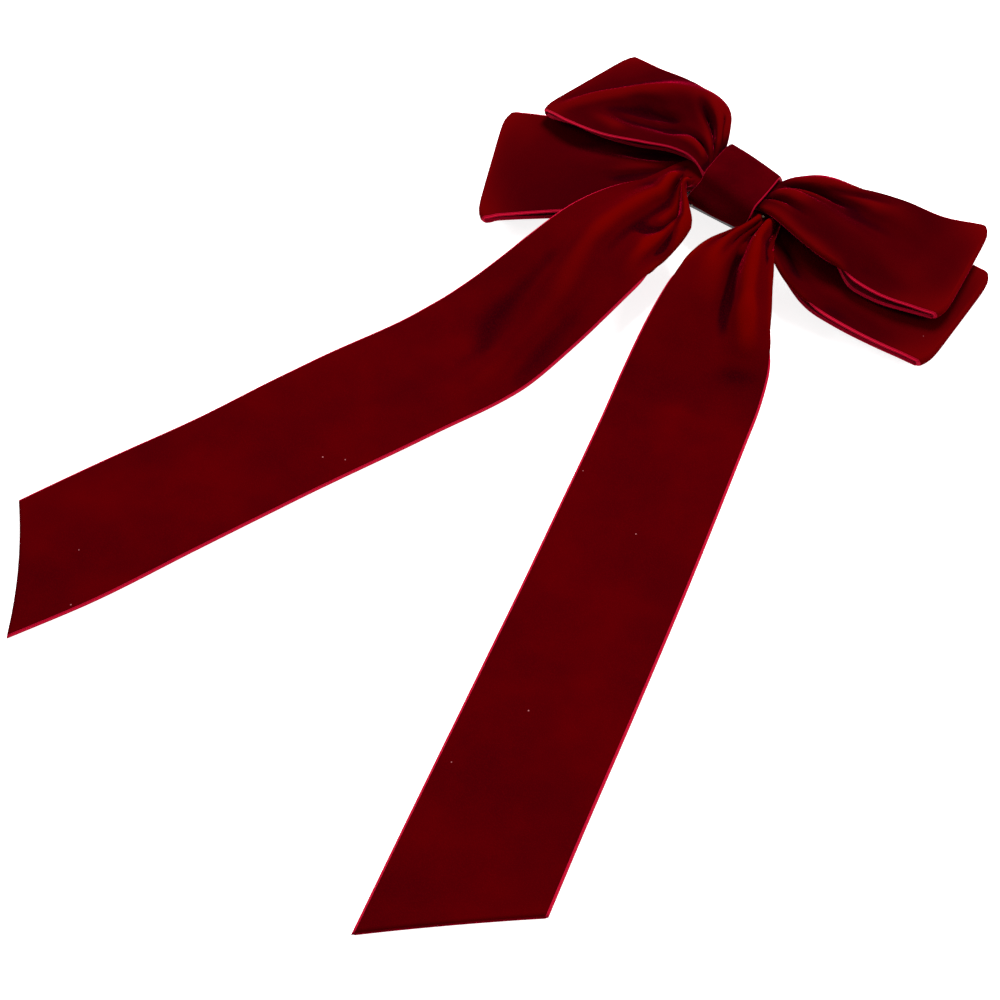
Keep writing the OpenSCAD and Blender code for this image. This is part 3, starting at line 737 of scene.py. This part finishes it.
# ---- Tails -----------------------------------------------------------------------------
THROAT_RUN = 22.0        # how far down the tail its free part starts
ROWS_A_SPAN = 11
THROAT_ROWS = 3 * ROWS_A_SPAN
FREE_ROWS = 170
TAIL_WAIST = 5.6         # half width of a tail inside the knot


def down_tail(side, s, across):
    """Point in the bow's plane, s down the tail and across it to the outer side."""
    a = math.radians(SPLAY - 90)
    x = s * math.cos(a) - across * math.sin(a)
    y = s * math.sin(a) + across * math.cos(a)
    return np.stack([x if side == "right" else -x, y], -1)


def through(stack, count):
    """Rows on smooth lines through a stack of rows, each column paced by its own steps."""
    gaps = np.sqrt(np.maximum(np.linalg.norm(np.diff(stack, axis=0), axis=2), 0.2))
    knots = np.concatenate([np.zeros((1, stack.shape[1])), np.cumsum(gaps, axis=0)])
    last = len(stack) - 1

    def slope(k):
        if k == 0:
            return (stack[1] - stack[0]) / (knots[1] - knots[0])[:, None]
        if k == last:
            return (stack[k] - stack[k - 1]) / (knots[k] - knots[k - 1])[:, None]
        before = (knots[k] - knots[k - 1])[:, None]
        after = (knots[k + 1] - knots[k])[:, None]
        return ((stack[k] - stack[k - 1]) / before * after
                + (stack[k + 1] - stack[k]) / after * before) / (before + after)

    rows = []
    for f in np.linspace(0, last, count):
        i = min(int(f), last - 1)
        step = (knots[i + 1] - knots[i])[:, None]
        rows.append(hermite(stack[i], stack[i + 1], slope(i), slope(i + 1), step, f - i))
    return np.array(rows)


def tail_throat(spec, flat, beyond, t):
    """Rows out of the knot's side and round its lower corner to the free part."""
    sign = 1 if spec["side"] == "right" else -1

    def row(inner, outer):
        return mix(np.array(inner)[None], np.array(outer)[None], t[0][:, None])

    start = row((sign * 1.0, -TAIL_WAIST, TAIL_Z), (sign * 1.0, TAIL_WAIST, TAIL_Z))
    mouth_x = sign * (MOUTH + 0.2)
    mouth = row((mouth_x,) + spec["mouth_in"], (mouth_x, TAIL_WAIST - 1.0, TAIL_Z))
    corner = row(spec["corner_in"], spec["corner_out"])
    stack = np.stack([start, mouth, corner, flat, beyond])
    return through(stack, (len(stack) - 1) * ROWS_A_SPAN + 1)[:THROAT_ROWS]


def tail_grid(spec, v):
    """Middle surface of a tail, from the middle of the knot to its cut end."""
    side = spec["side"]
    # Free part: both selvedges down the tail, the inner one longer than the outer.
    k = np.linspace(0, 1, FREE_ROWS)
    t = (v[None, :] + 1) / 2
    s = mix(mix(THROAT_RUN, spec["inner_end"], k)[:, None],
            mix(THROAT_RUN, spec["outer_end"], k)[:, None], t)
    # The scissors leave the end very slightly hollow.
    s = s - spec["hollow"] * (1 - v ** 2)[None, :] * (k ** 30)[:, None]
    run = np.concatenate([np.linspace(0, THROAT_RUN, THROAT_ROWS + 1)[:-1],
                          s.mean(1)])[:, None]
    at, drop = tucked(run, v, spec["tucks"])

    def free_rows(s, place):
        across = mix(curve(spec["inner"], s), curve(spec["outer"], s), place)
        return np.dstack([down_tail(side, s, across), curve(spec["height"], s)])

    free = free_rows(s, (at[THROAT_ROWS:] + 1) / 2)
    flat = free_rows(s[:1], t)[0]
    throat = tail_throat(spec, flat, flat + (free[6] - free[0]), t)
    shift = (at[:THROAT_ROWS] - v)[..., None] / 2 * (throat[:, -1:] - throat[:, :1])
    grid = np.concatenate([throat + shift, free])
    folds = pleats(run, v, spec["folds"]) + pleats(run, v, spec["waves"])
    width = np.linalg.norm(grid[:, -1] - grid[:, 0], axis=1)[:, None]
    soft = spec["uneven"] * ease((run - 30) / 40)
    folds = folds + soft * ripple(run, v * width / 2, spec["seed"], 60)
    # Under the loops and inside the knot there is no room for the folds.
    bare = ease((-grid[..., 1] - 5.5) / 5.5)
    flat_z = grid[..., 2]
    z = flat_z + folds * bare
    # The outer half rests on the lower loop, and the inner half hangs clear of it.
    rest = curve(spec["rests"], run) - 6 * ease((-0.05 - v) / 0.3)
    z = soft_max(z, np.minimum(rest, flat_z - 0.1), 0.25)
    grid[..., 2] = np.maximum(z - drop * bare, VELVET_T / 2 + 0.02)
    return grid


def tail(name, spec):
    side = spec["side"]
    grid = tail_grid(spec, V)
    ob = ribbon(name, grid, V, RIBBON, flip=-1 if side == "right" else 1)
    body = side + "_tail"
    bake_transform(ob)
    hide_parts(body, body + "_gather")


left = {
    "side": "left", "hollow": 1.3, "inner_end": 246.2, "outer_end": 223.4,
    "seed": 5, "uneven": 0.5,
    "inner": [(18, -3.6), (21, -5.6), (25, -8.0), (31, -10.7), (46, -15.6), (61, -18.4),
              (76, -20.3), (91, -22.3), (119, -22.4), (160, -21.9), (192, -22.4),
              (221, -22.7), (250, -20.7)],
    "outer": [(18, 16.2), (25, 18.8), (35, 20.8), (44, 21.4), (54, 21.2), (70, 20.8),
              (83, 20.4), (103, 19.1), (122, 18.4), (152, 18.0), (199, 18.7), (250, 18.3)],
    "height": [(18, 13.9), (36, 13.8), (44, 13.0), (50, 11.8), (60, 8.8), (70, 5.4),
               (80, 2.5), (88, 1.1), (96, 0.62), (130, 0.6), (250, 0.6)],
    "mouth_in": (-9.2, 14.9), "corner_in": (-11.2, -11.4, 14.7), "corner_out": (-17.6, -0.6, 14.5),
    "folds": [
        (8, 36, -0.72, -0.80, 0.18, 0.16, 2.6, 5, 18),
        (8, 36, -0.40, -0.50, 0.09, 0.12, -4.0, 4, 16),
        (20, 38, -0.62, -0.80, 0.07, 0.09, -1.6, 5, 9),
        (26, 37, -0.48, -0.22, 0.15, 0.18, -1.5, 4, 5),
        (8, 30, 0.14, 0.10, 0.08, 0.12, -1.6, 4, 14),
        (8, 60, -0.02, -0.05, 0.16, 0.24, -1.4, 5, 26),
        (8, 96, 0.40, -0.12, 0.30, 0.32, 2.8, 6, 44),
        (18, 52, -0.50, -0.66, 0.14, 0.20, 1.5, 8, 20),
        (22, 46, -0.84, -0.72, 0.10, 0.14, -1.3, 8, 16),
        (44, 124, -0.10, -0.80, 0.26, 0.30, 1.9, 22, 40),
        (40, 110, 0.35, 0.10, 0.3, 0.35, -1.1, 22, 36),
    ],
    "tucks": [(-1, 16, 46, 7, 16, 0.16, 2.0)],
    "rests": [(0, 14.2), (20, 13.2), (30, 12.8), (40, 12.2), (50, 11.0), (58, 9.2), (66, 0.5),
              (80, 0.5)],
    "waves": [(100, 190, 0.95, 0.95, 0.5, 0.5, 1.6, 40, 40)],
}
right = {
    "side": "right", "hollow": 0.5, "inner_end": 258.6, "outer_end": 239.6,
    "seed": 8, "uneven": 0.45,
    "inner": [(18, 3.0), (23, -1.6), (29, -5.4), (38, -8.3), (53, -11.5), (69, -13.4),
              (88, -14.0), (116, -14.8), (150, -16.0), (178, -17.2), (216, -18.8),
              (262, -20.6)],
    "outer": [(18, 14.4), (23, 16.2), (38, 19.9), (49, 23.0), (54, 24.6), (60, 25.9),
              (69, 26.4), (83, 26.1), (110, 25.6), (137, 25.0), (178, 23.6), (216, 22.0),
              (262, 20.5)],
    "height": [(18, 13.9), (24, 13.8), (30, 13.3), (40, 11.2), (50, 8.2), (60, 4.9),
               (70, 2.1), (76, 1.1), (82, 0.62), (130, 0.6), (262, 0.6)],
    "mouth_in": (-9.0, 15.1), "corner_in": (11.3, -11.3, 14.9), "corner_out": (16.8, -2.6, 14.4),
    "folds": [
        (8, 66, 0.42, 0.66, 0.20, 0.22, 3.4, 5, 22),
        (8, 62, 0.04, 0.26, 0.13, 0.22, -3.2, 4, 30),
        (8, 34, 0.20, 0.28, 0.06, 0.08, 1.0, 4, 14),
        (8, 60, -0.40, -0.30, 0.30, 0.36, 2.2, 5, 32),
        (8, 34, -0.30, -0.22, 0.07, 0.10, -2.0, 4, 16),
        (8, 30, -0.74, -0.66, 0.10, 0.14, -1.6, 4, 14),
        (8, 34, 0.72, 0.86, 0.09, 0.12, -1.6, 5, 16),
        (40, 66, 0.50, 0.42, 0.30, 0.36, 1.1, 9, 12),
        (70, 130, -0.2, 0.3, 0.3, 0.3, 0.9, 24, 30),
    ],
    "tucks": [(1, 18, 60, 8, 20, 0.12, 2.0), (-1, 17, 40, 7, 14, 0.14, 1.9)],
    "rests": [(0, 14.2), (20, 13.3), (26, 13.0), (32, 6.0), (40, 0.5)],
    "waves": [(60, 150, -0.95, -0.95, 0.4, 0.4, 0.8, 30, 50)],
}
tail("left_tail_ribbon", left)
tail("right_tail_ribbon", right)


# ---- Thread, stitches and glue ---------------------------------------------------------
THREAD_STEP = 0.16       # distance between the rings of a ply
STITCHES = 5
GLUE_BEADS = [((13.8, -8.3, 16.2), 0.40), ((-9.4, -9.8, 8.2), 0.32)]    # (place, radius)


def skin_faces(rings, around, base=0):
    """Quads between rings of points, each ring joined to the next."""
    faces = []
    for i in range(rings - 1):
        a, b = base + i * around, base + (i + 1) * around
        for j in range(around):
            k = (j + 1) % around
            faces.append((a + j, a + k, b + k, b + j))
    return faces


def twisted(line, radius=0.12, off=0.12, lay=1.5, plies=2, sides=7):
    """Vertices and faces of a thread of twisted plies along an open line.  Each ply lies
    off the line by the same distance, and makes one turn about it over the lay."""
    step = np.linalg.norm(np.diff(line, axis=0), axis=1)
    run = np.concatenate([[0], np.cumsum(step)])
    at = np.linspace(0, run[-1], max(int(run[-1] / THREAD_STEP), 8))
    line = np.stack([np.interp(at, run, line[:, i]) for i in range(3)], -1)
    ahead = np.gradient(line, axis=0)
    ahead /= np.linalg.norm(ahead, axis=1, keepdims=True)
    up = np.cross(ahead, np.array([1.0, 0.02, 0.03]))
    up /= np.maximum(np.linalg.norm(up, axis=1, keepdims=True), 1e-6)
    side = np.cross(ahead, up)
    angle = np.linspace(0, 2 * math.pi, sides, endpoint=False)
    section = (np.cos(angle)[None, :, None] * up[:, None]
               + np.sin(angle)[None, :, None] * side[:, None])
    thin = np.sqrt(np.clip(np.minimum(at, at[-1] - at) / 0.25, 0.04, 1))
    rings = len(at)
    verts, faces = [], []
    for ply in range(plies):
        turn = at * 2 * math.pi / lay + ply * 2 * math.pi / plies
        middle = line + off * (np.cos(turn)[:, None] * up + np.sin(turn)[:, None] * side)
        verts.append((middle[:, None]
                      + radius * thin[:, None, None] * section).reshape(-1, 3))
        base = ply * rings * sides
        faces += skin_faces(rings, sides, base)
        faces.append(tuple(base + j for j in range(sides))[::-1])
        faces.append(tuple(base + (rings - 1) * sides + j for j in range(sides)))
    return np.concatenate(verts), faces


def small_piece(name, parts, material, node_name):
    """One piece on the bow, made of several parts of their own vertices and faces."""
    verts, faces, base = [], [], 0
    for part_verts, part_faces in parts:
        verts.append(part_verts)
        faces += [tuple(base + i for i in f) for f in part_faces]
        base += len(part_verts)
    mesh = bpy.data.meshes.new(name)
    mesh.from_pydata((np.concatenate(verts) * MM).tolist(), [], faces)
    mesh.shade_smooth()
    mesh.materials.append(material)
    ob = linked(name, mesh)
    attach(ob, "bow")
    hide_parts(node_name)


def cad_limits(node_name):
    """Lower and upper corner of a CAD node, in mm."""
    lo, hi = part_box(node_name)
    return lo / MM, hi / MM


def waist_thread():
    """Four turns of two-ply thread wound round the gathered waist."""
    lo, hi = cad_limits("waist_thread")
    y, bottom, top = hi.y - 0.25, lo.z + 0.25, hi.z - 0.25
    turns, steps = 4, 140
    turn = resampled(rounded([(-y, bottom), (y, bottom), (y, top), (-y, top)], [0.9] * 4),
                     steps)
    t = np.arange(steps * turns) / (steps * turns - 1)
    line = np.stack([mix(lo.x + 0.3, hi.x - 0.3, t) + 0.05 * np.sin(t * 61),
                     np.tile(turn[:, 0], turns), np.tile(turn[:, 1], turns)], -1)
    small_piece("waist_thread_turns", [twisted(line)], thread_look, "waist_thread")


def band_stitches():
    """Slanted stitches on the hair side: each comes out of the band and goes back in."""
    lo, hi = cad_limits("band_stitches")
    z = (lo.z + hi.z) / 2
    t = np.linspace(-1, 1, 25)
    parts = []
    for i in range(1, STITCHES + 1):
        x = i * KNOT_W / (STITCHES + 1) - MOUTH
        lean = 0.9 + 0.12 * math.sin(i * 2.3)
        line = np.stack([x + lean * t * 0.55, t * (hi.y - 0.1),
                         z + 0.45 * np.clip(np.abs(t) - 0.7, 0, 1) / 0.3], -1)
        parts.append(twisted(line, radius=0.09, off=0.085, lay=1.1))
    small_piece("stitch_threads", parts, thread_look, "band_stitches")


def squeezed_pad(lo, hi, around=96, rings=9):
    """A pad squeezed between two faces, thicker in the middle and ragged at its rim."""
    angle = np.linspace(0, 2 * math.pi, around, endpoint=False)
    rx, ry = (hi.x - lo.x) / 2, (hi.y - lo.y) / 2
    ragged = (1 + 0.02 * np.sin(5 * angle + 1) + 0.015 * np.sin(9 * angle)
              + 0.01 * np.sin(14 * angle + 2))
    straight = np.sign(np.cos(angle)) * np.minimum(np.abs(np.cos(angle)) * 3, 1)
    rim = np.stack([(rx - ry) * straight + ry * np.cos(angle) * ragged * 0.97,
                    ry * np.sin(angle) * ragged * 0.97], -1)
    middle, thick = (lo.z + hi.z) / 2, (hi.z - lo.z) / 2
    verts = []
    for sign in (-1, 1):
        for f in np.arange(1, rings + 1) / rings:
            z = middle + sign * thick * math.sqrt(max(1 - f ** 6, 0.0))
            verts.append(np.column_stack([rim * f, np.full(around, z)]))
    verts.append(np.array([[0, 0, lo.z], [0, 0, hi.z]]))
    centre = 2 * rings * around
    faces = []
    for side in range(2):
        base = side * rings * around
        skin = [(base + r * around + j, base + (r + 1) * around + j,
                 base + (r + 1) * around + (j + 1) % around,
                 base + r * around + (j + 1) % around)
                for r in range(rings - 1) for j in range(around)]
        skin += [(centre + side, base + j, base + (j + 1) % around)
                 for j in range(around)]
        faces += skin if side else [q[::-1] for q in skin]
    low_rim, high_rim = (rings - 1) * around, (2 * rings - 1) * around
    for j in range(around):
        k = (j + 1) % around
        faces.append((low_rim + j, low_rim + k, high_rim + k, high_rim + j))
    return np.concatenate(verts), faces


def bead(place, size, around=14, rings=9):
    """A flattened drop."""
    verts = []
    for lat in math.pi * (np.arange(rings) / (rings - 1) - 0.5):
        for lon in 2 * math.pi * np.arange(around) / around:
            verts.append((place[0] + size * math.cos(lat) * math.cos(lon),
                          place[1] + 0.75 * size * math.cos(lat) * math.sin(lon),
                          place[2] + 0.6 * size * math.sin(lat)))
    return np.array(verts), skin_faces(rings, around)


def glue_bed():
    """The bed of clear glue, and small beads of it pushed out at the lower corners of
    the knot."""
    parts = [squeezed_pad(*cad_limits("glue_bed"))]
    parts += [bead(place, size) for place, size in GLUE_BEADS]
    small_piece("glue_bed_squeezed", parts, glue_look, "glue_bed")


# ---- Knot ------------------------------------------------------------------------------
BAND_FOOT_Y = 5.7        # half width of the band where it lies on the plate
BAND_KNEE_Z = 10.9       # height at which its sides stand upright
BAND_PUSH = 4.1          # how far the gathers push its lower side out


def knot_band():
    """The folded strip of velvet round the waist of the bow and the plate."""
    lo, hi = cad_limits("knot_band")
    half = VELVET_T / 2
    side_y = hi.y - half
    bottom, top = lo.z + half, hi.z - half
    outline = rounded([(-BAND_FOOT_Y, bottom), (BAND_FOOT_Y, bottom),
                       (side_y, BAND_KNEE_Z), (side_y - 0.3, top),
                       (0.3 - side_y, top), (-side_y, BAND_KNEE_Z)],
                      [1.2, 1.2, 1.8, 3.0, 3.0, 1.8])
    line = resampled(outline, 150)
    v = columns(26)
    grid = np.empty((len(line), len(v), 3))
    y, z = line[:, 0:1], line[:, 1:2]
    front = ease((z - 12) / 6)
    # The band pulls in a little between its edges where it turns over the sides, crowns
    # over the gathered ribbons under it, and lies a little askew in front.
    grid[..., 0] = v * MOUTH * (1 - 0.03 * front * (y / side_y) ** 2)
    grid[..., 0] += 0.9 * front - 0.072 * front * y
    grid[..., 1] = y * (1.035 + 0.02 * (1 - v ** 2)) - 0.17 * grid[..., 0] * front
    # The gathers that turn down at the lower side push the band out there.
    pushed = bump(z, 12.6, 3.4) * (y < 0)
    grid[..., 1] -= BAND_PUSH * pushed * (1 - 0.25 * v ** 2)
    crown = 0.35 * (1 - v ** 2) - 0.15
    grid[..., 2] = z + front * (crown + 0.2 * ripple(v * MOUTH, y, 3, 14))
    ob = ribbon("knot_band_velvet", grid[::-1], v, KNOT, closed=True, folded_edges=True)
    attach(ob, "bow")
    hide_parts("knot_band")


knot_band()
waist_thread()
band_stitches()
glue_bed()

# ---- Metal -----------------------------------------------------------------------------
plated = steel("barrette_steel_look", (0.13, 0.13, 0.135, 1), 0.26)
spring_look = steel("spring_steel_look", (0.20, 0.20, 0.21, 1), 0.24)
rivet_look = steel("rivet_steel_look", (0.62, 0.61, 0.60, 1), 0.22)
for names, look in ((("base_plate", "clasp_arm", "catch_block"), plated),
                    (("tension_spring", "upper_catch_leg", "lower_catch_leg"), spring_look),
                    (("hinge_pin", "catch_rivet"), rivet_look)):
    for name in names:
        for material_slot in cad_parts[name].material_slots:
            material_slot.material = look

# ---- Stage -----------------------------------------------------------------------------
FLOOR_HALF = 3.0
LAMP_AIM = (0, -0.1, 0)
LAMP_SIZE = 0.6
LAMPS = [("Key", (-0.25, 0.75, 1.3), 50), ("Side", (-1.3, -0.5, 0.7), 16),
         ("Fill", (1.2, 0.2, 0.8), 14)]    # (name, place in metres, watts)
WORLD_LIGHT = 0.40


def floor():
    h = FLOOR_HALF
    mesh = bpy.data.meshes.new("Floor")
    mesh.from_pydata([(-h, -h, 0), (h, -h, 0), (h, h, 0), (-h, h, 0)], [], [(0, 1, 2, 3)])
    ob = linked("Floor", mesh)
    material, tree, shader = new_material("floor_look")
    # A lit table: its glow keeps the shadows of the raised parts faint.
    fixed(shader, {"Base Color": (0.6, 0.6, 0.6, 1), "Roughness": 0.9,
                   "Specular IOR Level": 0.1, "Emission Color": (1, 1, 1, 1),
                   "Emission Strength": 0.85})
    # Seen from underneath the floor lets the hair side of the clip show.
    clear = node(tree, "ShaderNodeBsdfTransparent")
    facing = node(tree, "ShaderNodeNewGeometry").outputs["Backfacing"]
    both = node(tree, "ShaderNodeMixShader", {0: facing})
    tree.links.new(shader.outputs[0], both.inputs[1])
    tree.links.new(clear.outputs[0], both.inputs[2])
    tree.links.new(both.outputs[0], tree.nodes["Material Output"].inputs["Surface"])
    mesh.materials.append(material)


def area_light(name, place, power):
    data = bpy.data.lights.new(name, "AREA")
    data.shape = "DISK"
    data.size = LAMP_SIZE
    data.energy = power
    ob = linked(name, data)
    ob.location = place
    away = Vector(place) - Vector(LAMP_AIM)
    ob.rotation_euler = away.to_track_quat("Z", "Y").to_euler()


def soft_world():
    world = bpy.data.worlds.new("World")
    scene.world = world
    world.use_nodes = True
    fixed(world.node_tree.nodes["Background"],
          {"Color": (1, 1, 1, 1), "Strength": WORLD_LIGHT})


floor()
for lamp, place, power in LAMPS:
    area_light(lamp, place, power)
soft_world()
scene.view_settings.view_transform = "Standard"
